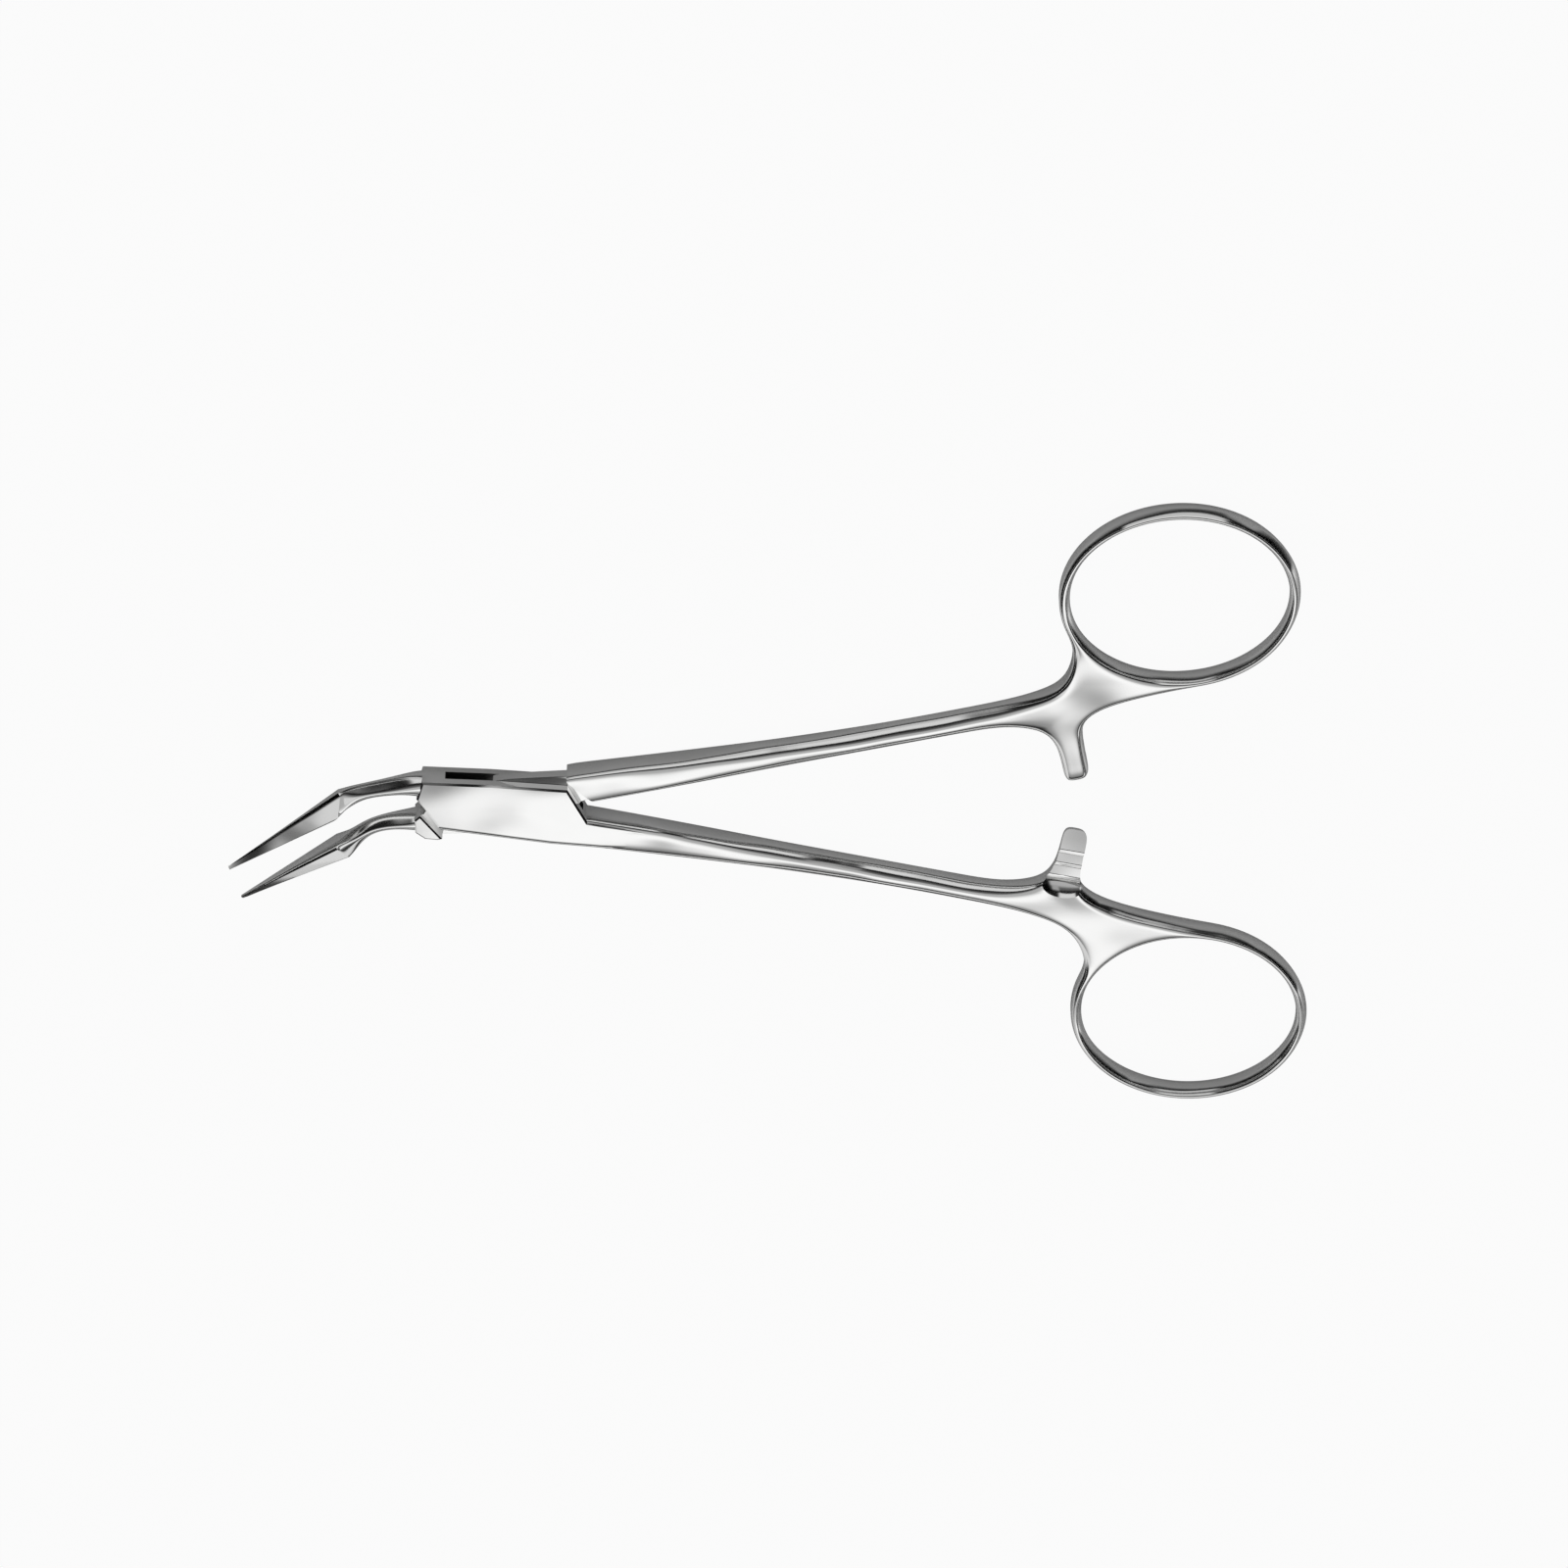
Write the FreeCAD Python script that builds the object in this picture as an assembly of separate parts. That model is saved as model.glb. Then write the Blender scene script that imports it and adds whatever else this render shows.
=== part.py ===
"""Ring-handled splinter forceps with a box lock: two forged halves and one pivot pin.

Millimetres. The forceps lie flat on z = 0 with the pivot axis on +Z at the origin.
Handles run to +X, the bent jaws to -X. The jaws stand open by rest_open degrees.
Each half is drawn closed, about the middle plane, and is then turned about the pivot.
"""
import math
import os

import FreeCAD
import Part

# The lock
thick = 4.7             # depth of the lock, from the table to its front face
chamfer = 0.37          # broken edge round the lock
lock_top = 3.8          # pivot to the lock's upper edge
lock_left = 10.5        # pivot to the jaw end of the lock
lock_right = 8.3        # pivot to the end of the lock's upper edge
lock_foot = 3.3         # pivot to the lower edge at the jaw end
lock_heel = 4.75        # pivot to the lower edge at the handle end
tongue_thick = 1.68     # the inner half's tongue, through the slot
tongue_side_gap = 0.06  # clear space on each side of the tongue
tongue_rise = 4.1       # pivot to the tongue's upper edge
tongue_dip = 0.95       # how much lower that edge starts, at the jaw end of the slot
tongue_dip_end = 0.8    # pivot to where it has risen
shoulder_gap = 0.4      # between the shoulders of the two halves when closed
slot_gap = 0.35         # between the tongue and the closed ends of the slot
slot_start = 7.5        # pivot to the slot's end on the upper side
slot_angle = 54.0       # slope of the slot's closed ends
pin_radius = 1.25
pin_gap = 0.04          # running clearance of the pin in the tongue

# The pose
closed_half = 8.0      # handle axis from the middle line when the tips touch
rest_open = 6.6         # opening between the halves as modelled

# The shanks
shank_start = 7.0
shank_past_arm = 2.5    # the bar ends this far inside the web
shank_lock_width = 4.5
shank_waist_width = 2.7
shank_ring_width = 3.0
shank_waist_at = 52.0
shank_depth = 3.9
shank_offset = 1.2      # axis outside the pivot line at the lock
shank_waist_offset = 0.4
shank_round = 1.05

# The finger rings
ring_long = 15.6        # outer half length
ring_short = 13.1       # outer half width
ring_width = 1.7
ring_depth = 4.0
ring_round = 0.75
ring_rise = 13.1
ring_beyond_inner = 19.2    # ratchet arm to the ring's middle, inner half
ring_beyond_outer = 21.6    # the same on the outer half
ring_turn = -8.0

# The web between shank, arm and ring
web_before_arm = 3.0    # the web starts this far ahead of the arm
web_sunk = 0.15         # its outline starts this far inside the bar
web_swell = 0.55        # its rise above that, where the curve to the ring starts
web_lap_inner = 0.6     # its left side, from the ring's end
web_lap_outer = -0.6
web_lift = 0.6          # its right side above the ring's foot

# The ratchet arms
arm_tip = 10.4
arm_left = 72.0         # pivot to the arm's near side
arm_width = 3.2
arm_flare_inner = 0.5   # how much its far side spreads at the web, inner half
arm_flare_outer = 1.7
arm_corner = 0.6
arm_chamfer = 0.35
recess_before_arm = 1.6
tooth_pitch = 1.9
tooth_count = 3
first_crest = 7.25
tooth_half_height = 0.3

# The jaws
tip_reach = 36.8
tip_angle = 161.3
grip_angle = 32.2
tip_lead = 0.8          # the tips meet before the rest of the grip faces
jaw_width = 3.05        # grip face to the back corner
jaw_outer_length = 18.4     # tip to the back corner, jaw of the outer half
jaw_inner_length = 15.2     # the same on the inner half
jaw_grip_length = 15.0
jaw_depth = 4.2
jaw_back_depth = 1.5
tip_depth = 0.6
tip_width = 0.45
neck_width = 1.65
neck_waist_depth = 2.2
neck_round = 0.45


def at(x, y, z=0.0):
    return FreeCAD.Vector(x, y, z)


def polar(radius, degrees):
    a = math.radians(degrees)
    return (radius * math.cos(a), radius * math.sin(a))


def line(p, q):
    return Part.LineSegment(at(*p), at(*q)).toShape()


def arc(p, m, q):
    return Part.Arc(at(*p), at(*m), at(*q)).toShape()


def prism(edges, low, high):
    """A closed plan outline raised from low to high."""
    face = Part.Face(Part.Wire(edges))
    face.translate(at(0, 0, low))
    return face.extrude(at(0, 0, high - low))


def plate(points, low, high):
    return prism(Part.makePolygon([at(*p) for p in points + points[:1]]).Edges, low, high)


def flat_edges(solid):
    """Edges that lie wholly in the top or the bottom plane."""
    low, high = solid.BoundBox.ZMin, solid.BoundBox.ZMax
    found = []
    for edge in solid.Edges:
        box = edge.BoundBox
        if box.ZLength < 1e-5 and min(abs(box.ZMin - low), abs(box.ZMin - high)) < 1e-5:
            found.append(edge)
    return found


def section(x, y, turn, width, depth, corner):
    """Rounded rectangle across a bar that runs in the plan direction turn."""
    r = min(corner, width * 0.49, depth * 0.49)
    w = width / 2
    d = depth / 2
    k = r * (1 - math.sqrt(0.5))
    side = [(w, r - d), (w, d - r), (w - r, d), (r - w, d),
            (-w, d - r), (-w, r - d), (r - w, -d), (w - r, -d)]
    mids = [(w - k, d - k), (k - w, d - k), (k - w, k - d), (w - k, k - d)]
    nx, ny = polar(1.0, turn + 90)
    ring = [at(x + nx * u, y + ny * u, v) for u, v in side]
    bend = [at(x + nx * u, y + ny * u, v) for u, v in mids]
    edges = []
    for i in range(4):
        edges.append(Part.LineSegment(ring[2 * i], ring[2 * i + 1]).toShape())
        nxt = ring[(2 * i + 2) % 8]
        edges.append(Part.Arc(ring[2 * i + 1], bend[i], nxt).toShape())
    return Part.Wire(edges)


def bar(stations):
    return Part.makeLoft([section(*s) for s in stations], True, False)


def shank_section(x):
    """Where the bar's middle is at x, and its width, depth and corner there."""
    near = max(0.0, (shank_waist_at - x) / (shank_waist_at - shank_start))
    far = max(0.0, (x - shank_waist_at) / (shank_end - shank_waist_at))
    width = shank_waist_width + (shank_lock_width - shank_waist_width) * near ** 1.3
    width += (shank_ring_width - shank_waist_width) * far ** 2
    y = shank_waist_offset + (shank_offset - shank_waist_offset) * near ** 2 + 0.3 * far
    depth = shank_depth + (thick - 0.02 - shank_depth) * near
    corner = shank_round + (chamfer - shank_round) * near
    return (x, y, 0.0, width, depth, corner)


def shank():
    """The handle bar, along +X from inside the lock to the root of the ring."""
    run = shank_end - shank_start
    return bar([shank_section(shank_start + run * step / 8) for step in range(9)])


def oval(reach, long_half, short_half, low, high):
    edge = Part.Ellipse(at(0, 0), long_half, short_half).toShape()
    body = prism([edge], low, high)
    body.rotate(at(0, 0), at(0, 0, 1), ring_turn)
    body.translate(at(reach, ring_rise))
    return body


def ring(reach):
    """Oval finger ring with rounded edges."""
    d = ring_depth / 2
    outer = oval(reach, ring_long, ring_short, -d, d)
    inner = oval(reach, ring_long - ring_width, ring_short - ring_width, -d - 1, d + 1)
    body = outer.cut(inner)
    return body.makeFillet(ring_round, flat_edges(body))


def root(reach, web_left, flare):
    """Flat web between shank, ring and ratchet arm, still without its teeth."""
    d = ring_depth / 2 - 0.02
    tip = -arm_tip
    c = arm_corner
    left = arm_left
    right = arm_left + arm_width
    start = arm_left - web_before_arm
    middle = shank_section(start)[1]
    half = shank_section(start)[3] / 2 - web_sunk
    top = middle + half
    foot = ring_rise - ring_short
    crotch = right + flare
    edges = [
        line((start, top), (web_left - 2.7, top + web_swell)),
        arc((web_left - 2.7, top + web_swell), (web_left - 0.8, foot + 4.2), (web_left, foot + 7.2)),
        line((web_left, foot + 7.2), (web_left + 0.5, foot + 11.5)),
        line((web_left + 0.5, foot + 11.5), (reach - 6.0, foot + 6.0)),
        line((reach - 6.0, foot + 6.0), (reach - 1.0, foot + web_lift)),
        line((reach - 1.0, foot + web_lift), (crotch + 3.5, foot + web_lift)),
        arc((crotch + 3.5, foot + web_lift), (crotch + 1.0, -0.75), (crotch, -3.0)),
        line((crotch, -3.0), (right, tip + c)),
        arc((right, tip + c), (right - 0.3 * c, tip + 0.3 * c), (right - c, tip)),
        line((right - c, tip), (left + c, tip)),
        arc((left + c, tip), (left + 0.3 * c, tip + 0.3 * c), (left, tip + c)),
        line((left, tip + c), (left - 0.2, -4.5)),
        arc((left - 0.2, -4.5), (left - 0.95, -2.4), (start, middle - half)),
        line((start, middle - half), (start, top)),
    ]
    body = prism(edges, -d, d)
    body = body.makeChamfer(arm_chamfer, flat_edges(body))
    half_wall = ring_width / 2
    return body.cut(oval(reach, ring_long - half_wall, ring_short - half_wall, -d - 1, d + 1))


def ratchet_room():
    """What is cut away behind the arm: saw slopes, then a hollow up to the back face."""
    h = tooth_half_height
    deep = -ring_depth
    profile = [(-arm_tip - 1.0, deep), (-arm_tip - 1.0, h), (-arm_tip, h)]
    for tooth in range(tooth_count):
        y = tooth * tooth_pitch - first_crest
        profile.append((y, -h))
        profile.append((y + 0.1, h))
    run = profile[-1][0]
    start = arm_left - recess_before_arm
    points = [at(start, y, z) for y, z in profile]
    edges = [Part.LineSegment(p, q).toShape() for p, q in zip(points, points[1:])]
    foot = at(start, run + 2.7, -ring_depth / 2)
    mid = at(start, run + 1.6, -0.45)
    end = at(start, run + 2.7, deep)
    edges.append(Part.Arc(points[-1], mid, foot).toShape())
    edges.append(Part.LineSegment(foot, end).toShape())
    edges.append(Part.LineSegment(end, points[0]).toShape())
    return Part.Face(Part.Wire(edges)).extrude(at(30.0, 0, 0))


def handle(beyond, lap, flare):
    """Shank, ratchet arm and ring about the axis +X; the teeth look to -Z."""
    reach = arm_left + beyond
    web_left = reach - ring_long + lap
    body = shank().cut(ratchet_room()).fuse(root(reach, web_left, flare).cut(ratchet_room()))
    return body.fuse(ring(reach))


def jaw(side, back_length):
    """Tapered jaw with a flat grip face; side is +1 above the grip line, -1 below."""
    rings = []
    for along in (0.0, back_length):
        t = along / back_length
        w = tip_width + (jaw_width - tip_width) * t
        inner = (tip_depth + (jaw_depth - tip_depth) * t) / 2
        back = (tip_depth * 0.6 + (jaw_back_depth - tip_depth * 0.6) * t) / 2
        points = [(along, 0.0, -inner), (along, 0.0, inner)]
        points += [(along, side * w, back), (along, side * w, -back)]
        points = [at(*p) for p in points]
        rings.append(Part.makePolygon(points + points[:1]))
    body = Part.makeLoft(rings, True, True)
    rear = plate([(jaw_grip_length, -side), (jaw_grip_length, 0.0),
                  (back_length, side * jaw_width), (back_length, side * 9.0),
                  (25.0, side * 9.0), (25.0, -side)], -9.0, 9.0)
    body = body.cut(rear)
    body.rotate(at(0, 0), at(0, 0, 1), grip_angle + side * tip_lead)
    body.translate(at(*polar(tip_reach, -tip_angle)))
    return body


def jaw_point(side, along, across):
    """A plan point of a jaw, along its grip line and across it."""
    x, y = polar(tip_reach, -tip_angle)
    a = math.radians(grip_angle + side * tip_lead)
    x += along * math.cos(a) - side * across * math.sin(a)
    y += along * math.sin(a) + side * across * math.cos(a)
    return x, y


def neck(side, start, y_lock, y_mid, knee, length):
    """Slim bar from the lock to the back of the jaw, deep at both ends."""
    middle = jaw_width / 2
    x1, y1 = jaw_point(side, length + 0.8, middle)
    x2, y2 = jaw_point(side, length - 1.0, middle)
    deep = thick - 0.3
    mean = (neck_waist_depth + deep) / 2
    stations = [
        (start, y_lock, 0.0, neck_width + 0.6, deep, neck_round),
        (-11.8, y_lock, 0.0, neck_width + 0.4, deep, neck_round),
        (-14.2, y_mid, 8.0, neck_width, mean, neck_round),
        (knee[0], knee[1], 22.0, neck_width, neck_waist_depth, neck_round),
        (x1, y1, grip_angle, neck_width + 0.3, jaw_depth * 0.55, neck_round),
        (x2, y2, grip_angle, neck_width, jaw_depth * 0.4, neck_round),
    ]
    return bar(stations)


def centred(shape):
    """From the middle plane to the part's own height."""
    shape.translate(at(0, 0, thick / 2))
    return shape


def turned(shape, degrees):
    shape.rotate(at(0, 0), at(0, 0, 1), degrees)
    return shape


def pin_bore(radius):
    return Part.makeCylinder(radius, thick + 2, at(0, 0, -thick / 2 - 1))


# The far end of both bars, which are alike
shank_end = arm_left + shank_past_arm

# Lines shared by both halves, closed, as plan points
jaw_step = [(-lock_left + 0.2, 0.25), (-lock_left + 2.85, -lock_foot)]
handle_step = [(lock_right, lock_top - 0.1), (lock_right + 2.8, -0.9)]
lock_end = lock_right + 4.7


def beside(points, gap):
    """A line of two points moved to its left by the gap."""
    (x1, y1), (x2, y2) = points
    length = math.hypot(x2 - x1, y2 - y1)
    dx = -(y2 - y1) / length * gap
    dy = (x2 - x1) / length * gap
    return [(x1 + dx, y1 + dy), (x2 + dx, y2 + dy)]


def slot_end():
    """Closed end of the slot on the jaw side, from the upper edge down."""
    run = math.radians(slot_angle)
    drop = 5.3
    x, y = -slot_start, lock_top + 0.1
    return [(x, y), (x - drop * math.cos(run), y - drop * math.sin(run))]


def outer_half():
    """Lower ring, lock with the slot, upper jaw: one forging."""
    d = thick / 2
    step = handle_step
    lock = plate([(-lock_left, lock_top), (-1.7, lock_top + 0.1), step[0], step[1],
                  (lock_end, -1.35), (lock_end, -lock_heel),
                  (lock_right - 1.9, -lock_heel + 0.2), (1.3, -lock_heel + 0.65),
                  jaw_step[1], jaw_step[0], (-lock_left - 0.6, 1.2)], -d, d)
    lock = lock.makeChamfer(chamfer, flat_edges(lock))
    bar_body = handle(ring_beyond_outer, web_lap_outer, arm_flare_outer)
    bar_body.rotate(at(0, 0), at(1, 0, 0), 180)
    bar_body = turned(bar_body, -closed_half)
    # the shank stays out of the slot and of the step beyond the lock
    corner = plate([step[0], (20.0, 12.0), (-20.0, 12.0), (-20.0, -12.0), (6.0, -12.0),
                    (6.0, 0.0)], -d - 1, d + 1)
    body = lock.fuse(bar_body.cut(corner))
    body = body.fuse(neck(1, -9.0, 1.85, 1.6, (-16.9, 0.95), jaw_outer_length - 1.8))
    body = body.fuse(jaw(1, jaw_outer_length))
    left = slot_end()
    right = [(-x, -y) for x, y in left]
    half_slot = tongue_thick / 2 + tongue_side_gap
    slot = plate([left[0], (-slot_start, 9.0), (16.0, 9.0), right[1],
                  right[0], (slot_start, -9.0), (-16.0, -9.0), left[1]],
                 -half_slot, half_slot)
    body = body.cut(slot).cut(pin_bore(pin_radius))
    return turned(centred(body), -rest_open / 2)


def inner_half():
    """Upper ring, tongue through the slot, lower jaw: one forging."""
    d = thick / 2
    t = tongue_thick / 2
    hs = beside(handle_step, shoulder_gap)
    js = beside(jaw_step, -shoulder_gap)
    left = beside(slot_end(), slot_gap)
    right = [(-x, -y) for x, y in left]
    low = [left[0][0] - tongue_dip * math.cos(math.radians(slot_angle)),
           left[0][1] - tongue_dip * math.sin(math.radians(slot_angle))]
    rise_at = (tongue_dip_end - slot_start) / 2
    tongue = plate([low, (rise_at, tongue_rise - tongue_dip), (tongue_dip_end, tongue_rise),
                    (lock_end - 0.5, tongue_rise), (lock_end - 0.5, 1.0), right[1], right[0],
                    (1.0, -lock_top), (-lock_left + 2.3, -lock_foot - 0.2),
                    (-lock_left + 0.3, -lock_foot + 0.3), (-lock_left - 0.1, -1.2), left[1]],
                   -t, t)
    block = plate([hs[0], (lock_end, lock_top + 0.9), (lock_end, 0.75), (lock_end - 2.0, 0.6)], -d, d)
    block = block.makeChamfer(chamfer, flat_edges(block))
    heel = plate([js[0], js[1], (-lock_left + 1.9, -lock_foot - 0.35),
                  (-lock_left + 0.3, -lock_foot - 0.1), (-lock_left - 0.9, -lock_foot + 0.9),
                  (-lock_left - 0.9, -0.6)], -d, d)
    heel = heel.makeChamfer(chamfer * 0.7, flat_edges(heel))
    bar_body = handle(ring_beyond_inner, web_lap_inner, arm_flare_inner)
    bar_body = turned(bar_body, closed_half)
    corner = plate([hs[0], (9.0, 20.0), (-20.0, 20.0), (-20.0, -12.0), (hs[1][0], -12.0),
                    hs[1]], -d - 1, d + 1)
    body = block.fuse(bar_body.cut(corner)).fuse(tongue).fuse(heel)
    body = body.fuse(neck(-1, -10.6, -1.5, -1.6, (-17.2, -2.2), jaw_inner_length - 0.4))
    body = body.fuse(jaw(-1, jaw_inner_length))
    body = body.cut(pin_bore(pin_radius + pin_gap))
    return turned(centred(body), rest_open / 2)


def pin():
    return Part.makeCylinder(pin_radius, thick)


def save(name, shape):
    shape = shape.removeSplitter()
    shape.exportStep("parts/" + name + ".step")


os.makedirs("parts", exist_ok=True)
save("box_half", outer_half())
save("tongue_half", inner_half())
save("pivot_pin", pin())
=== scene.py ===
import math

import bmesh
import bpy
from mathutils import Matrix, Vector


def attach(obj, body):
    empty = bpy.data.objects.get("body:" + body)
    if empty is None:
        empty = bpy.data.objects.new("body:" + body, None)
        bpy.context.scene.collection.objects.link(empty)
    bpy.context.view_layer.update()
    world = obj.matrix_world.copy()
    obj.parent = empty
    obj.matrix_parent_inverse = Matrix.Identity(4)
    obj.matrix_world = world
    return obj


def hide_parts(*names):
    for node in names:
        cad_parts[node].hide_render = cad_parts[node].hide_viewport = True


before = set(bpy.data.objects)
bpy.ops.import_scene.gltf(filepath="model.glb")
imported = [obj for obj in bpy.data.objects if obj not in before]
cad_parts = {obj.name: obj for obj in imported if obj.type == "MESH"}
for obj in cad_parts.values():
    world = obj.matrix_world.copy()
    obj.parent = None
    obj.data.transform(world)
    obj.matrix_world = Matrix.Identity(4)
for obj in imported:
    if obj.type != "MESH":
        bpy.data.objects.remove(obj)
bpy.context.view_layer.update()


# Handles
# Shank, ratchet arm and finger ring of one half are one smooth forging of stainless steel,
# ground and polished all over. Each is drawn in millimetres as flat quads along its own axis,
# its edges are rounded over, and it is mirrored in its middle plane.
ring_long = 15.6           # half axes of the finger ring, to its outer edge
ring_short = 13.1
ring_width = 1.7
ring_rise = 13.1           # from the handle's axis to the ring's middle
ring_turn = math.radians(-8)
ring_steps = 24
web_steps = range(14, 19)  # the ring's steps that the web runs into
half_depth = 2.0
edge_round = 0.42          # how far the edges are rounded over, across
edge_fall = 0.9            # and how deep
ring_fall = 1.35           # how deep on web and ring, which are rounder
fall_start = 74.0          # where the edges begin to grow rounder, and over what length
fall_length = 6.0
most_rounded = 0.8         # the largest share of the half width that the rounding takes
middle_band = 0.3          # points this near the middle line stay where they are
side_crown = 0.16          # how far the sides of web and ring bulge
side_band = 0.3            # points this near the middle plane are put on it
web_start = 68.0           # where the shank's own section ends
shank_start = 7.0
shank_end = 66.0
shank_parts = 10
shank_waist = 52.0         # where the shank is slimmest
shank_width = 2.7
shank_half_depth = 1.98
shank_rise = 0.4           # how far its middle stands off the axis
lock_taper = 45.0          # the length over which it grows towards the lock,
lock_swell = 1.8           # in width,
lock_bend = 0.8            # sideways
lock_deepening = 0.35      # and in half depth
web_taper = 22.5           # the same towards the web
web_swell = 0.3
web_bend = 0.3
middle_dip = 0.04          # it is a little thinner about its middle
dip_place = 0.3
arm_left = 72.0
arm_right = 75.2
arm_stations = ((-10.4, 0.0), (-8.2, 0.0), (-6.2, 0.05), (-4.4, 0.3))  # place and flare
weld = 0.001               # points as near as this are one


def ribbon(rows):
    """Flat quads through rows of points, from a grid."""
    bpy.ops.object.select_all(action="DESELECT")
    bpy.ops.mesh.primitive_grid_add(x_subdivisions=len(rows[0]) - 1, y_subdivisions=len(rows) - 1)
    piece = bpy.context.object
    for place, vert in zip([p for row in rows for p in row], piece.data.vertices):
        vert.co = Vector(place).to_3d()
    return piece


def joined(pieces, name):
    """One object from several, with the points that meet made one."""
    bpy.ops.object.select_all(action="DESELECT")
    for piece in pieces:
        piece.select_set(True)
    bpy.context.view_layer.objects.active = pieces[0]
    if len(pieces) > 1:
        bpy.ops.object.join()
    piece = bpy.context.object
    piece.name = name
    bpy.ops.object.mode_set(mode="EDIT")
    bpy.ops.mesh.select_all(action="SELECT")
    bpy.ops.mesh.remove_doubles(threshold=weld)
    bpy.ops.mesh.normals_make_consistent(inside=False)
    bpy.ops.object.mode_set(mode="OBJECT")
    return piece


def finished(piece, kind, **settings):
    """A modifier set and applied."""
    bpy.context.view_layer.objects.active = piece
    modifier = piece.modifiers.new(kind.title(), kind)
    for key, value in settings.items():
        setattr(modifier, key, value)
    bpy.ops.object.modifier_apply(modifier=modifier.name)


def shank_line(x):
    """Middle, half width, edge rounding and half depth of the shank at x."""
    near = max(0.0, (shank_waist - x) / lock_taper)
    far = max(0.0, (x - shank_waist) / web_taper)
    width = shank_width + lock_swell * near ** 1.3 + web_swell * far ** 2
    middle = shank_rise + lock_bend * near ** 2 + web_bend * far
    rounding = min(edge_fall, edge_round + edge_fall * (1 - near) ** 1.5)
    depth = shank_half_depth + lock_deepening * near - middle_dip * (1 - abs(near - dip_place))
    return middle, width / 2, rounding, depth


def ring_point(reach, step, inset):
    """A point of the ring's outline, inset from its outer edge."""
    swell = 3 / (2 + math.cos(2 * math.pi / ring_steps))
    angle = 2 * math.pi * step / ring_steps
    x = (ring_long - inset) * swell * math.cos(angle)
    y = (ring_short - inset) * swell * math.sin(angle)
    c, s = math.cos(ring_turn), math.sin(ring_turn)
    return reach + c * x - s * y, ring_rise + s * x + c * y


def rounded_over(piece):
    """The flat quads given depth, with lowered edges and bulging sides, and mirrored."""
    bpy.ops.object.mode_set(mode="EDIT")
    bpy.ops.mesh.select_all(action="SELECT")
    if piece.data.polygons[0].normal.z < 0:
        bpy.ops.mesh.flip_normals()
    bpy.ops.mesh.inset(thickness=edge_round, use_boundary=True)
    bpy.ops.mesh.select_all(action="SELECT")
    bpy.ops.mesh.region_to_loop()
    mesh = bmesh.from_edit_mesh(piece.data)
    outline = {v for v in mesh.verts if v.select}
    for vert in mesh.verts:
        x, y = vert.co.x, vert.co.y
        depth = half_depth
        share = min(1.0, max(0.0, (x - fall_start) / fall_length))
        rounding = edge_fall + (ring_fall - edge_fall) * share
        if x < web_start:
            middle, half, rounding, depth = shank_line(x)
            rounding = min(rounding, half * most_rounded)
            off_end = x > shank_start + edge_round + 0.1
            if vert not in outline and abs(y - middle) > middle_band and off_end:
                vert.co.y = middle + math.copysign(half - rounding, y - middle)
        vert.co.z = depth - (rounding if vert in outline else 0.0)
    bpy.ops.mesh.extrude_edges_move()
    for vert in mesh.verts:
        if vert.select:
            vert.co.z = 0.0
            vert.select_set(vert.co.x > web_start)
    mesh.select_flush_mode()
    bmesh.update_edit_mesh(piece.data)
    bpy.ops.transform.shrink_fatten(value=side_crown)
    for vert in mesh.verts:
        if abs(vert.co.z) < side_band:
            vert.co.z = 0.0
    bmesh.update_edit_mesh(piece.data)
    bpy.ops.object.mode_set(mode="OBJECT")
    finished(piece, "MIRROR", use_axis=(False, False, True), use_mirror_merge=True, merge_threshold=weld)
    finished(piece, "SUBSURF", levels=3, render_levels=3)
    return joined([piece], piece.name)


def handle(name, reach, web_left):
    """Ring, web, arm and shank about the axis +X; the teeth of the arm look to -Z."""
    loop = [[ring_point(reach, i, side_crown), ring_point(reach, i, ring_width - side_crown)]
            for i in range(ring_steps + 1)]
    rim = [loop[i][0] for i in web_steps]
    waist = [(web_left - 1.3, 3.5), (web_left + 0.2, 2.7), (web_left + 1.3, 1.8),
             (web_left + 2.2, 0.8), (web_left + 2.4, -0.35)]
    crotch = (arm_left - 1.4, -2.3)
    shank = []
    for i in range(shank_parts + 1):
        x = shank_start + (shank_end - shank_start) * i / shank_parts
        middle, half, _, _ = shank_line(x)
        shank.append([(x, middle + half), (x, middle), (x, middle - half)])
    shank.append([(arm_left - 0.8, 2.3), (arm_left - 1.2, 0.7), crotch])
    arm = []
    for y, flare in arm_stations:
        arm.append([(arm_right + flare * 0.4, y), ((arm_left + arm_right) / 2, y), (arm_left - flare, y)])
    arm.append([(arm_right + 0.45, -2.4), (arm_right - 1.0, -2.0), crotch])
    flat = joined([ribbon(loop),
                   ribbon(shank + [waist[:3], rim[:3]]),
                   ribbon(arm + [waist[:1:-1], rim[:1:-1]])], name)
    return rounded_over(flat)


# Ratchet teeth
# Three saw teeth with worn crests are cut into one face of each arm, and a hollow is ground
# beside them where the arm meets the web. Both are taken off the handle in one cut.
tooth_half = 0.3           # the teeth reach this far to both sides of the middle plane
first_crest = -3.45
tooth_pitch = 1.9
tooth_count = 3
tooth = ((-0.42, -0.2), (-0.36, -0.26), (-0.04, -0.26), (0.08, -0.1),
         (0.14, tooth_half), (0.36, 0.12))  # from its crest: along the arm, depth
arm_end = -11.4
room_top = -4.0            # well outside the arm's face
room_left = 71.2
room_width = 8.0
hollow_middle = (73.2, -4.6, -3.45)
hollow_size = (4.3, 3.5, 3.3)
ease_ratio = 3             # an eased edge is this much wider than a broken one


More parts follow.
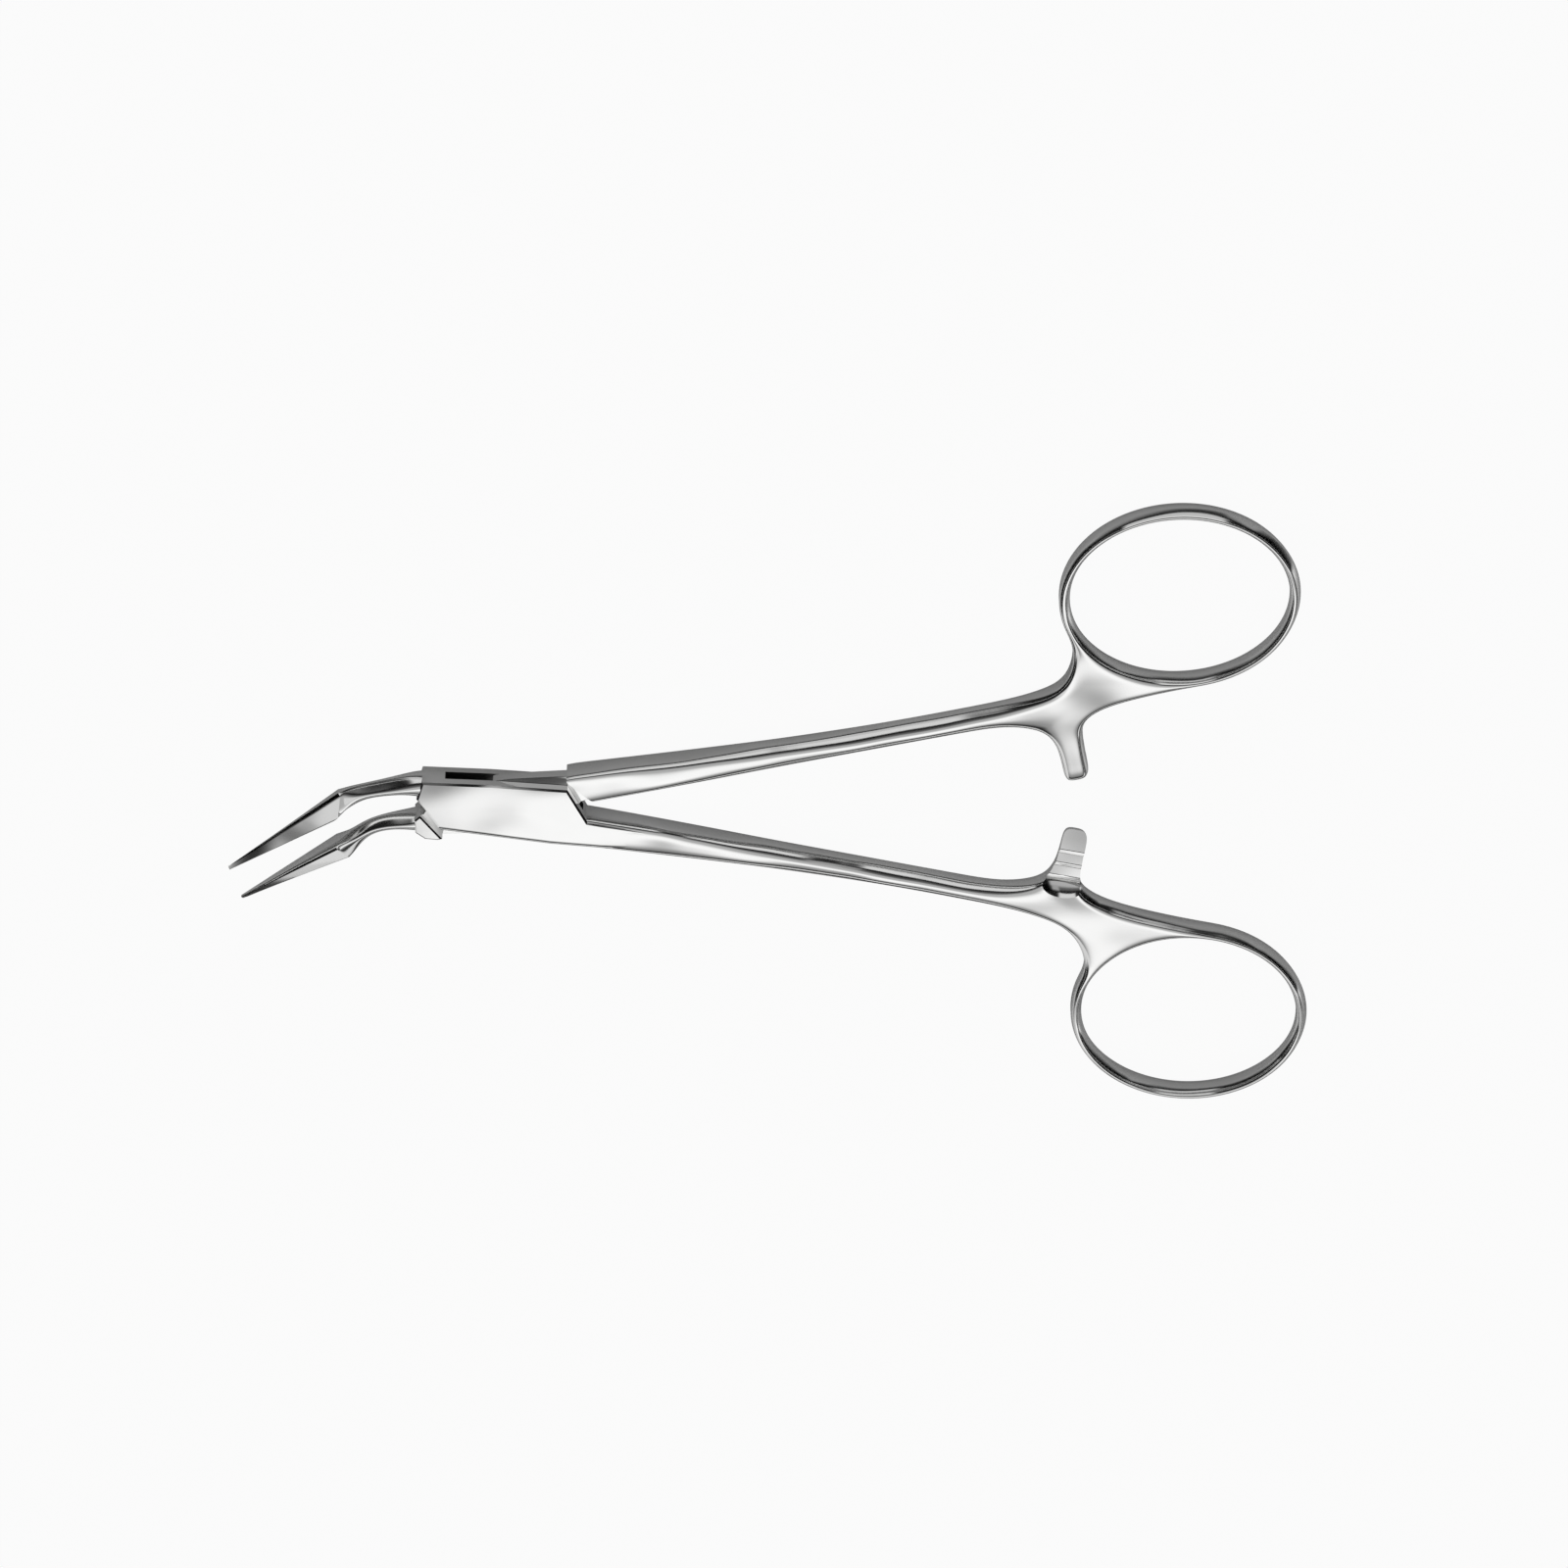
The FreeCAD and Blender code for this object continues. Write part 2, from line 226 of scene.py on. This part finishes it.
def prism(name, outline, low, high, broken=0.0, eased=None):
    """A plan outline raised from low to high, with the edges of both faces broken.

    Edges below y = eased are rounded off instead.
    """
    bpy.ops.object.select_all(action="DESELECT")
    bpy.ops.mesh.primitive_circle_add(vertices=len(outline), fill_type="NGON")
    piece = bpy.context.object
    piece.name = name
    for place, vert in zip(outline, piece.data.vertices):
        vert.co = (place[0], place[1], low)
    bpy.ops.object.mode_set(mode="EDIT")
    bpy.ops.mesh.select_all(action="SELECT")
    bpy.ops.mesh.extrude_region_move(TRANSFORM_OT_translate={"value": (0, 0, high - low)})
    bpy.ops.mesh.select_all(action="SELECT")
    bpy.ops.mesh.normals_make_consistent(inside=False)
    if broken:
        bpy.ops.mesh.select_mode(type="EDGE")
        mesh = bmesh.from_edit_mesh(piece.data)
        if eased is not None:
            bpy.ops.mesh.select_all(action="DESELECT")
            for edge in mesh.edges:
                a, b = [vert.co for vert in edge.verts]
                edge.select_set(abs(a.z - b.z) < weld and max(a.y, b.y) < eased)
            bmesh.update_edit_mesh(piece.data)
            bpy.ops.mesh.bevel(offset=ease_ratio * broken, segments=5, affect="EDGES")
        bpy.ops.mesh.select_all(action="DESELECT")
        for edge in mesh.edges:
            a, b = [vert.co for vert in edge.verts]
            edge.select_set(abs(a.z - b.z) < weld and edge.calc_face_angle(0) > 1)
        bmesh.update_edit_mesh(piece.data)
        bpy.ops.mesh.bevel(offset=broken, segments=1, affect="EDGES")
        bpy.ops.mesh.select_mode(type="VERT")
    bpy.ops.object.mode_set(mode="OBJECT")
    return piece


def combined(piece, tool, way):
    """One solid joined with another, or cut by it."""
    finished(piece, "BOOLEAN", operation=way, solver="EXACT", object=tool)
    bpy.data.objects.remove(tool)
    return piece


def teeth_room():
    """What is ground away from the arm: the room over the saw teeth, then a hollow."""
    profile = [(arm_end, room_top), (arm_end, tooth_half + 0.35), (arm_end + 1.0, tooth_half + 0.3)]
    for i in reversed(range(tooth_count)):
        crest = first_crest - i * tooth_pitch
        profile += [(crest + along, depth) for along, depth in tooth]
    profile += [(first_crest + 0.45, -0.5), (first_crest + 0.45, room_top)]
    piece = prism("teeth_room", profile, 0.0, room_width)
    for vert in piece.data.vertices:
        y, z, x = vert.co
        vert.co = (x + room_left, y, z)
    bpy.ops.object.select_all(action="DESELECT")
    bpy.ops.mesh.primitive_uv_sphere_add(segments=96, ring_count=48, radius=1)
    hollow = bpy.context.object
    for vert in hollow.data.vertices:
        vert.co = [m + s * v for m, s, v in zip(hollow_middle, hollow_size, vert.co)]
    return combined(joined([piece], "teeth_room"), hollow, "UNION")


# Jaws and necks
# Each jaw is a flat-sided tapered point, ground on a slim round neck that bends to one side,
# and is forged in one with its half. Both are drawn closed, about the lock's middle.
tip_reach = 36.8           # from the rivet to where the tips meet
tip_angle = math.radians(-161.3)
grip_angle = 32.2          # direction of the line on which the jaws meet
tip_lead = 0.8             # each grip face leans off it by this, so that the tips meet first
tip_width = 0.45
tip_half_depth = 0.3
jaw_width = 3.05
jaw_half_depth = 2.1
jaw_stations = (0.0, 0.12, 0.4, 0.7, 0.93, 1.0)
grip_length = 15.0
rear_bulge = 1.2           # how round the facet ends at the neck
facet_start = 0.2          # the facet's edges, as shares of the width
facet_end = 0.9
facet_slope_tip = 38.0     # degrees, at the tip and at the neck
facet_slope_rear = 28.0
back_height = 0.14         # share of the width, from the back edge up to the facet
waist_beyond = 0.7         # just behind the ground part the jaw steps in
waist_slim = 0.93


def jaw_place(side, along, across):
    """Plan point of a jaw, along its grip line and across it."""
    a = math.radians(grip_angle + side * tip_lead)
    x = tip_reach * math.cos(tip_angle) + along * math.cos(a) - side * across * math.sin(a)
    y = tip_reach * math.sin(tip_angle) + along * math.sin(a) + side * across * math.cos(a)
    return x, y


def jaw_row(side, t, back_length, beyond=0.0, slim=1.0):
    """Twelve points round a jaw: grip face, rounded land, wide facet and back edge."""
    width = tip_width + (jaw_width - tip_width) * t
    deep = tip_half_depth + (jaw_half_depth - tip_half_depth) * t
    slope = math.tan(math.radians(facet_slope_tip + (facet_slope_rear - facet_slope_tip) * t))
    low = max(0.04, deep - (facet_end - facet_start) * width * slope)
    back = max(0.03, low - back_height * width)
    over = [(1.0, 0.0), (1.0, back), (facet_end, low), (facet_start, deep), (0.05, deep * 0.75),
            (0.0, deep * 0.35), (0.0, 0.0)]
    if side < 0:
        over.reverse()
    row = []
    for across, z in over + [(c, -z) for c, z in over[5:0:-1]]:
        bulge = rear_bulge * (back_length - grip_length) * across * (1 - across)
        along = t * (grip_length + (back_length - grip_length) * across ** 0.6 + bulge) + beyond
        across = 0.5 + (across - 0.5) * slim
        row.append((*jaw_place(side, along, across * width), z * slim))
    return row


def neck_row(x, y, turn, width, depth, r, s):
    """Twelve points round the neck: its middle, direction, size, and rounding across and down."""
    w, d = width / 2, depth / 2
    nx, ny = -math.sin(math.radians(turn)), math.cos(math.radians(turn))
    profile = [(w, 0), (w, d - s), (w - r, d), (0, d), (r - w, d), (-w, d - s),
               (-w, 0), (-w, s - d), (r - w, -d), (0, -d), (w - r, -d), (w, s - d)]
    return [(x + nx * u, y + ny * u, v) for u, v in profile]


def jaw_and_neck(side, back_length, stations):
    """Slim neck from the lock that swells into a tapered, ground point."""
    rows = [jaw_row(side, t, back_length) for t in jaw_stations]
    rows += [jaw_row(side, 1.0, back_length, waist_beyond, waist_slim)]
    rows += [neck_row(*station) for station in stations]
    places = [(Vector(point), i, j) for i, row in enumerate(rows) for j, point in enumerate(row)]
    piece = joined([ribbon([row + row[:1] for row in rows])], "jaw")
    bpy.ops.object.mode_set(mode="EDIT")
    bpy.ops.mesh.select_all(action="SELECT")
    bpy.ops.mesh.fill_holes(sides=0)
    bpy.ops.mesh.select_all(action="SELECT")
    bpy.ops.mesh.normals_make_consistent(inside=False)
    bpy.ops.mesh.select_mode(type="EDGE")
    bpy.ops.mesh.select_all(action="DESELECT")
    mesh = bmesh.from_edit_mesh(piece.data)
    last_ground = len(jaw_stations) - 1
    for edge in mesh.edges:
        (_, i, j), (_, k, m) = [min(places, key=lambda p: (p[0] - vert.co).length)
                                for vert in edge.verts]
        corner = min(j, 12 - j) if side > 0 else 6 - min(j, 12 - j)
        along = j == m and max(i, k) <= last_ground and corner in (1, 2, 3)
        round_rear = i == k and i in (0, last_ground)
        edge.select_set(along or round_rear)
    bmesh.update_edit_mesh(piece.data)
    bpy.ops.transform.edge_crease(value=1.0)
    bpy.ops.mesh.select_mode(type="VERT")
    bpy.ops.object.mode_set(mode="OBJECT")
    finished(piece, "SUBSURF", levels=3, render_levels=3)
    return piece


# Hand polish
# Every face is ground and polished by hand. That leaves soft waves in the faces, very fine
# lines and a little unevenness of gloss, and it is the same on all three pieces.
polish = bpy.data.node_groups.new("hand_polish", "ShaderNodeTree")
for socket, kind, way in (("Wave Depth", "Float", "INPUT"), ("Dull", "Float", "INPUT"),
                          ("Lightness", "Float", "INPUT"), ("Color", "Color", "OUTPUT"),
                          ("Roughness", "Float", "OUTPUT"), ("Normal", "Vector", "OUTPUT")):
    polish.interface.new_socket(name=socket, in_out=way, socket_type="NodeSocket" + kind)
nodes = polish.nodes
links = polish.links
given = nodes.new("NodeGroupInput")
result = nodes.new("NodeGroupOutput")
coord = nodes.new("ShaderNodeTexCoord")
dark_steel = (0.74, 0.74, 0.735, 1)
light_steel = (0.83, 0.83, 0.825, 1)
gloss_range = (0.05, 0.17)
line_depth = 0.0000008


def noise(scale, detail, stretch=(1, 1, 1)):
    """Noise on the piece's own coordinates."""
    place = nodes.new("ShaderNodeMapping")
    place.inputs["Scale"].default_value = stretch
    links.new(coord.outputs["Object"], place.inputs["Vector"])
    node = nodes.new("ShaderNodeTexNoise")
    node.inputs["Scale"].default_value = scale
    node.inputs["Detail"].default_value = detail
    links.new(place.outputs[0], node.inputs["Vector"])
    return node.outputs["Fac"]


def math_node(kind, *values):
    """A sum on numbers and sockets, in the node tree at hand."""
    node = nodes.new("ShaderNodeMath")
    node.operation = kind
    for value, socket in zip(values, node.inputs):
        if isinstance(value, (int, float)):
            socket.default_value = value
        else:
            links.new(value, socket)
    return node.outputs[0]


waves = noise(80, 0.6)
lines = noise(2600, 2.0, (0.12, 1, 1))
patches = noise(160, 3.0)
tone = nodes.new("ShaderNodeMix")
tone.data_type = "RGBA"
tone.inputs["A"].default_value = dark_steel
tone.inputs["B"].default_value = light_steel
links.new(patches, tone.inputs["Factor"])
lit = nodes.new("ShaderNodeVectorMath")
lit.operation = "SCALE"
links.new(tone.outputs["Result"], lit.inputs[0])
links.new(given.outputs["Lightness"], lit.inputs["Scale"])
links.new(lit.outputs[0], result.inputs["Color"])
gloss = nodes.new("ShaderNodeMapRange")
gloss.inputs["To Min"].default_value = gloss_range[0]
gloss.inputs["To Max"].default_value = gloss_range[1]
links.new(patches, gloss.inputs["Value"])
links.new(math_node("ADD", gloss.outputs["Result"], given.outputs["Dull"]), result.inputs["Roughness"])
wavy = nodes.new("ShaderNodeBump")
links.new(waves, wavy.inputs["Height"])
links.new(given.outputs["Wave Depth"], wavy.inputs["Distance"])
lined = nodes.new("ShaderNodeBump")
lined.inputs["Distance"].default_value = line_depth
links.new(lines, lined.inputs["Height"])
links.new(wavy.outputs[0], lined.inputs["Normal"])
links.new(lined.outputs[0], result.inputs["Normal"])


def polished(name, wave_depth=0.002, dull=0.0, lightness=1.0):
    """Bare stainless steel, hand polished."""
    material = bpy.data.materials.new(name)
    material.use_nodes = True
    shader = material.node_tree.nodes["Principled BSDF"]
    shader.inputs["Metallic"].default_value = 1.0
    finish = material.node_tree.nodes.new("ShaderNodeGroup")
    finish.node_tree = polish
    finish.inputs["Wave Depth"].default_value = wave_depth
    finish.inputs["Dull"].default_value = dull
    finish.inputs["Lightness"].default_value = lightness
    for output, socket in (("Color", "Base Color"), ("Roughness", "Roughness"), ("Normal", "Normal")):
        material.node_tree.links.new(finish.outputs[output], shader.inputs[socket])
    return material


steel = polished("polished_steel")


# Box half
# One forging: the box of the lock with a slot through it, the upper jaw and the lower handle.
# The lock is ground flat with a narrow broken edge, eased along its lower side. The faces inside the
# slot are rougher and painted dark, a painted shade for the deep, narrow slot.
mm = 0.001
thick = 4.7                # depth of the lock
closed_half = 8.0          # angle between a handle and the middle line when the tips touch
rest_open = 6.6            # opening of the two halves at rest
broken_edge = 0.26
eased_below = -3.2
slot_half = 0.9
slot_past = 9.0            # the slot's cutter runs this far out of the lock
rivet_radius = 1.25
bore_cut = 9.0             # length of the bore's cutter, past both faces
lock_outline = [(-10.5, 3.8), (-1.7, 3.9), (8.3, 3.7), (11.1, -0.9), (13.0, -1.15), (19.0, -1.95),
                (19.0, -4.9), (13.0, -4.8), (6.4, -4.55), (1.3, -4.1), (-7.65, -3.3),
                (-10.3, 0.25), (-11.1, 1.2)]
root_start = 15.0          # beyond here the lock sinks into the shank
root_share = 0.9
slot_outline = [(-7.5, 3.9), (-7.5, slot_past), (16.0, slot_past), (10.62, 0.39), (7.5, -3.9),
                (7.5, -slot_past), (-16.0, -slot_past), (-10.62, -0.39)]
upper_neck = [(-19.0, 0.55, 27.0, 2.1, 3.0, 0.85, 1.1), (-16.3, 1.35, 17.0, 2.1, 3.2, 0.85, 1.2),
              (-13.4, 2.05, 14.0, 2.4, 4.0, 0.95, 1.4), (-11.2, 2.45, 5.0, 2.8, 4.5, 0.9, 1.2),
              (-9.0, 2.4, 0.0, 2.9, 4.5, 0.6, 0.8)]
smooth_below = math.radians(21)
flush = 2e-6               # metres, for points on the lock's faces
slot_flush = 1e-5          # and for faces of the slot


def placed(piece, turn=(0, 0, 0), move=(0, 0, 0), size=1.0):
    """The piece turned by degrees, scaled and moved, with that put into its mesh."""
    bpy.ops.object.select_all(action="DESELECT")
    piece.select_set(True)
    bpy.context.view_layer.objects.active = piece
    piece.rotation_euler = [math.radians(a) for a in turn]
    piece.location = move
    piece.scale = (size, size, size)
    bpy.ops.object.transform_apply(location=True, rotation=True, scale=True)


def on_table(piece, turn):
    """A half opened to its rest pose, laid on the table and brought to metres."""
    placed(piece, turn=(0, 0, turn))
    placed(piece, move=(0, 0, thick / 2 * mm), size=mm)


def shaded(piece, material):
    """Smooth but for real edges, with the lock's faces kept flat, in one material."""
    bpy.ops.object.select_all(action="DESELECT")
    piece.select_set(True)
    bpy.context.view_layer.objects.active = piece
    bpy.ops.object.shade_smooth_by_angle(angle=smooth_below)
    flats = [v.index for v in piece.data.vertices
             if min(abs(v.co.z), abs(v.co.z - thick * mm)) < flush]
    piece.vertex_groups.new(name="flats").add(flats, 1.0, "REPLACE")
    finished(piece, "WEIGHTED_NORMAL", keep_sharp=True, vertex_group="flats")
    piece.data.materials.clear()
    piece.data.materials.append(material)


box = handle("box_half_steel", reach=93.6, web_left=77.4)
combined(box, teeth_room(), "DIFFERENCE")
placed(box, turn=(180, 0, 0))
placed(box, turn=(0, 0, -closed_half))
lock = prism("lock", lock_outline, -thick / 2, thick / 2, broken_edge, eased_below)
for vert in lock.data.vertices:
    if vert.co.x > root_start:
        vert.co.z *= root_share
combined(box, lock, "UNION")
combined(box, jaw_and_neck(1, 18.2, upper_neck), "UNION")
combined(box, prism("slot", slot_outline, -slot_half, slot_half), "DIFFERENCE")
bpy.ops.mesh.primitive_cylinder_add(vertices=64, radius=rivet_radius, depth=bore_cut)
combined(box, bpy.context.object, "DIFFERENCE")
on_table(box, -rest_open / 2)
shaded(box, steel)
# The faces inside the slot get a second, rougher steel whose colour is darkened to 0.12: painted shade.
box.data.materials.append(polished("slot_painted_shade_steel", wave_depth=0.0, dull=0.3, lightness=0.12))
for face in box.data.polygons:
    off_middle = abs(face.center.z - thick / 2 * mm)
    if abs(off_middle - slot_half * mm) < slot_flush and abs(face.normal.z) > 0.99:
        face.material_index = 1
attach(box, "box")
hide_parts("box_half")


# Tongue half
# One forging: the tongue that runs through the slot, the shoulder and the heel that close
# the slot's ends, the lower jaw and the upper handle. The tongue slides in the slot with a
# hair's gap, and the heel is ground flush with the lock.
shoulder = (8.64, 3.91, 0)
shoulder_face = (4.6, 2.8, 0)
tongue_thick = 1.68
tongue_outline = [(-9.25, 0.9), (-4.6, 2.0), (-0.9, 3.9), (1.2, 4.1), (12.5, 4.1), (12.5, 1.0),
                  (10.2, 0.2), (7.2, -3.8), (1.0, -3.8), (-8.2, -3.5), (-10.2, -3.0),
                  (-10.6, -1.2), (-10.2, -0.4)]
heel_outline = [(-10.6, 0.05), (-8.0, -3.55), (-8.6, -3.65), (-10.2, -3.4), (-11.4, -2.4),
                (-11.4, -0.6)]
lower_neck = [(-18.9, -3.35, 36.0, 2.0, 3.0, 0.8, 1.1), (-17.1, -2.2, 24.0, 2.0, 3.0, 0.8, 1.1),
              (-14.5, -1.65, 8.0, 2.1, 3.6, 0.85, 1.3), (-11.8, -1.55, 0.0, 2.4, 4.5, 0.9, 1.3),
              (-10.4, -1.5, 0.0, 2.5, 4.5, 0.6, 0.8)]


def trimmed(piece, point, outward):
    """The part of the piece on the outward side of a plane, closed there."""
    bpy.ops.object.select_all(action="DESELECT")
    piece.select_set(True)
    bpy.context.view_layer.objects.active = piece
    bpy.ops.object.mode_set(mode="EDIT")
    bpy.ops.mesh.select_all(action="SELECT")
    bpy.ops.mesh.bisect(plane_co=point, plane_no=outward, use_fill=True, clear_inner=True)
    bpy.ops.object.mode_set(mode="OBJECT")


tongue_half = handle("tongue_half_steel", reach=91.2, web_left=76.2)
combined(tongue_half, teeth_room(), "DIFFERENCE")
placed(tongue_half, turn=(0, 0, closed_half))
trimmed(tongue_half, shoulder, shoulder_face)
trimmed(tongue_half, shoulder, (1, 0, 0))
combined(tongue_half, prism("tongue", tongue_outline, -tongue_thick / 2, tongue_thick / 2, 0.05), "UNION")
combined(tongue_half, prism("heel", heel_outline, -thick / 2, thick / 2, 0.2), "UNION")
combined(tongue_half, jaw_and_neck(-1, 15.2, lower_neck), "UNION")
on_table(tongue_half, rest_open / 2)
shaded(tongue_half, steel)
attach(tongue_half, "tongue")
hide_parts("tongue_half")


# Rivet
# A plain steel pin, pressed into both cheeks and through the tongue. Its ends are ground
# flush and polished with the lock, so it keeps the shape it has in the frame.
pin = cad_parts["pivot_pin"]
pin.data.materials.clear()
pin.data.materials.append(polished("rivet_steel"))


# Floor
# A plain pale sheet that the forceps lie on. The camera sees it white with a faint shadow,
# and only the steel sees its darker tone and the sheen it has at a low angle.
floor_grey = 0.5
seen_white = 0.95          # share of white that the camera sees
mirrored_white = 0.08      # and that the steel sees
sheen_range = (0.25, 0.5)
sheen_roughness = 0.05


def ramp(value, low, high, start=0.0, end=1.0):
    """A smooth step of a value, from start at low to end at high."""
    node = nodes.new("ShaderNodeMapRange")
    node.interpolation_type = "SMOOTHSTEP"
    for amount, socket in zip((value, low, high, start, end), node.inputs):
        if isinstance(amount, (int, float)):
            socket.default_value = amount
        else:
            links.new(amount, socket)
    return node.outputs["Result"]


def mixed(share, first, second):
    """Two shaders mixed by a share of the second."""
    node = nodes.new("ShaderNodeMixShader")
    for output, socket in zip((share, first, second), node.inputs):
        links.new(output, socket)
    return node.outputs[0]


bpy.ops.mesh.primitive_plane_add(size=6)
floor = bpy.context.object
floor.name = "floor"
paper = bpy.data.materials.new("paper")
paper.use_nodes = True
nodes = paper.node_tree.nodes
links = paper.node_tree.links
shader = nodes["Principled BSDF"]
shader.inputs["Base Color"].default_value = (floor_grey, floor_grey, floor_grey, 1)
shader.inputs["Roughness"].default_value = 1.0
shader.inputs["Specular IOR Level"].default_value = 0.0
glow = nodes.new("ShaderNodeEmission")
path = nodes.new("ShaderNodeLightPath")
seen = math_node("MULTIPLY", path.outputs["Is Camera Ray"], seen_white)
white = math_node("MULTIPLY_ADD", path.outputs["Is Glossy Ray"], mirrored_white, seen)
grazing = nodes.new("ShaderNodeLayerWeight")
grazing.inputs["Blend"].default_value = 0.5
sheen = ramp(grazing.outputs["Facing"], *sheen_range, end=path.outputs["Is Glossy Ray"])
mirror = nodes.new("ShaderNodeBsdfGlossy")
mirror.inputs["Roughness"].default_value = sheen_roughness
sheet = mixed(white, shader.outputs[0], glow.outputs[0])
links.new(mixed(sheen, sheet, mirror.outputs[0]), nodes["Material Output"].inputs["Surface"])
floor.data.materials.append(paper)


# Studio
# A soft studio, all in the world's colour, because polished steel shows what stands round it:
# light overhead, black flags at both sides, darkness behind the camera and a pale card low in
# it. Lean is the angle in degrees from straight up towards +Y, the camera's side.
flag_depth = 0.985
world = bpy.data.worlds.new("studio")
bpy.context.scene.world = world
world.use_nodes = True
nodes = world.node_tree.nodes
links = world.node_tree.links
coord = nodes.new("ShaderNodeTexCoord")
split = nodes.new("ShaderNodeSeparateXYZ")
links.new(coord.outputs["Generated"], split.inputs[0])
x, y, z = split.outputs
lean = math_node("MULTIPLY", math_node("ARCTAN2", y, z), 180 / math.pi)
wide = math_node("ABSOLUTE", x)


def product(*values):
    """All the values multiplied."""
    total = values[0]
    for value in values[1:]:
        total = math_node("MULTIPLY", total, value)
    return total


far_side = product(ramp(lean, -44, -24, 0.35, 1.2), ramp(lean, -64, -42, 0.08, 1.0))
overhead = ramp(lean, -20, 10, 1.0, 0.42)
behind = product(ramp(lean, 26, 40, 1.0, 0.25), ramp(lean, 42, 54, 1.0, 0.1))
left_box = product(ramp(x, -0.3, -0.42), ramp(lean, 21, 31, 0.8, 0.0))
right_fill = product(ramp(x, 0.3, 0.42), ramp(x, 0.6, 0.72, 0.4, 0.0),
                     ramp(lean, 14, 26), ramp(lean, 46, 58, 1.0, 0.0))
left_flag = product(ramp(x, -0.86, -0.66, 1.0, 0.0), ramp(y, -0.75, -0.65))
right_flag = product(ramp(x, 0.62, 0.78), ramp(y, -0.3, -0.15))
low_card = product(ramp(wide, 0.33, 0.46, 0.8, 0.0), ramp(z, 0.41, 0.47, 1.0, 0.0), ramp(lean, 50, 60))
low_far = product(ramp(z, 0.16, 0.26, 0.85, 0.0), ramp(y, -0.6, -0.4, 1.0, 0.0))
horizon = ramp(z, 0.015, 0.03, 0.9, 0.0)
level = product(far_side, overhead, behind)
for light in (left_box, right_fill):
    level = math_node("MAXIMUM", level, light)
for flag in (left_flag, right_flag):
    level = product(level, math_node("SUBTRACT", 1.0, product(flag, flag_depth)))
for light in (low_card, low_far, horizon):
    level = math_node("MAXIMUM", level, light)
links.new(level, nodes["Background"].inputs["Color"])


# Camera
# It looks down on the forceps from their +Y side, 30 degrees off straight down, through a
# long lens from well away, so that the two handles look alike in size.
target = Vector((0.0364, 0.00295, thick / 2 * mm))
tilt = math.radians(30)
distance = 1.3
toward = Vector((0.0, math.sin(tilt), math.cos(tilt)))
bpy.ops.object.camera_add(location=target + toward * distance)
camera = bpy.context.object
camera.rotation_euler = (-tilt, 0, 0)
camera.data.lens = 231.2
camera.data.clip_end = 20
bpy.context.scene.camera = camera
bpy.context.scene.view_settings.view_transform = "Standard"
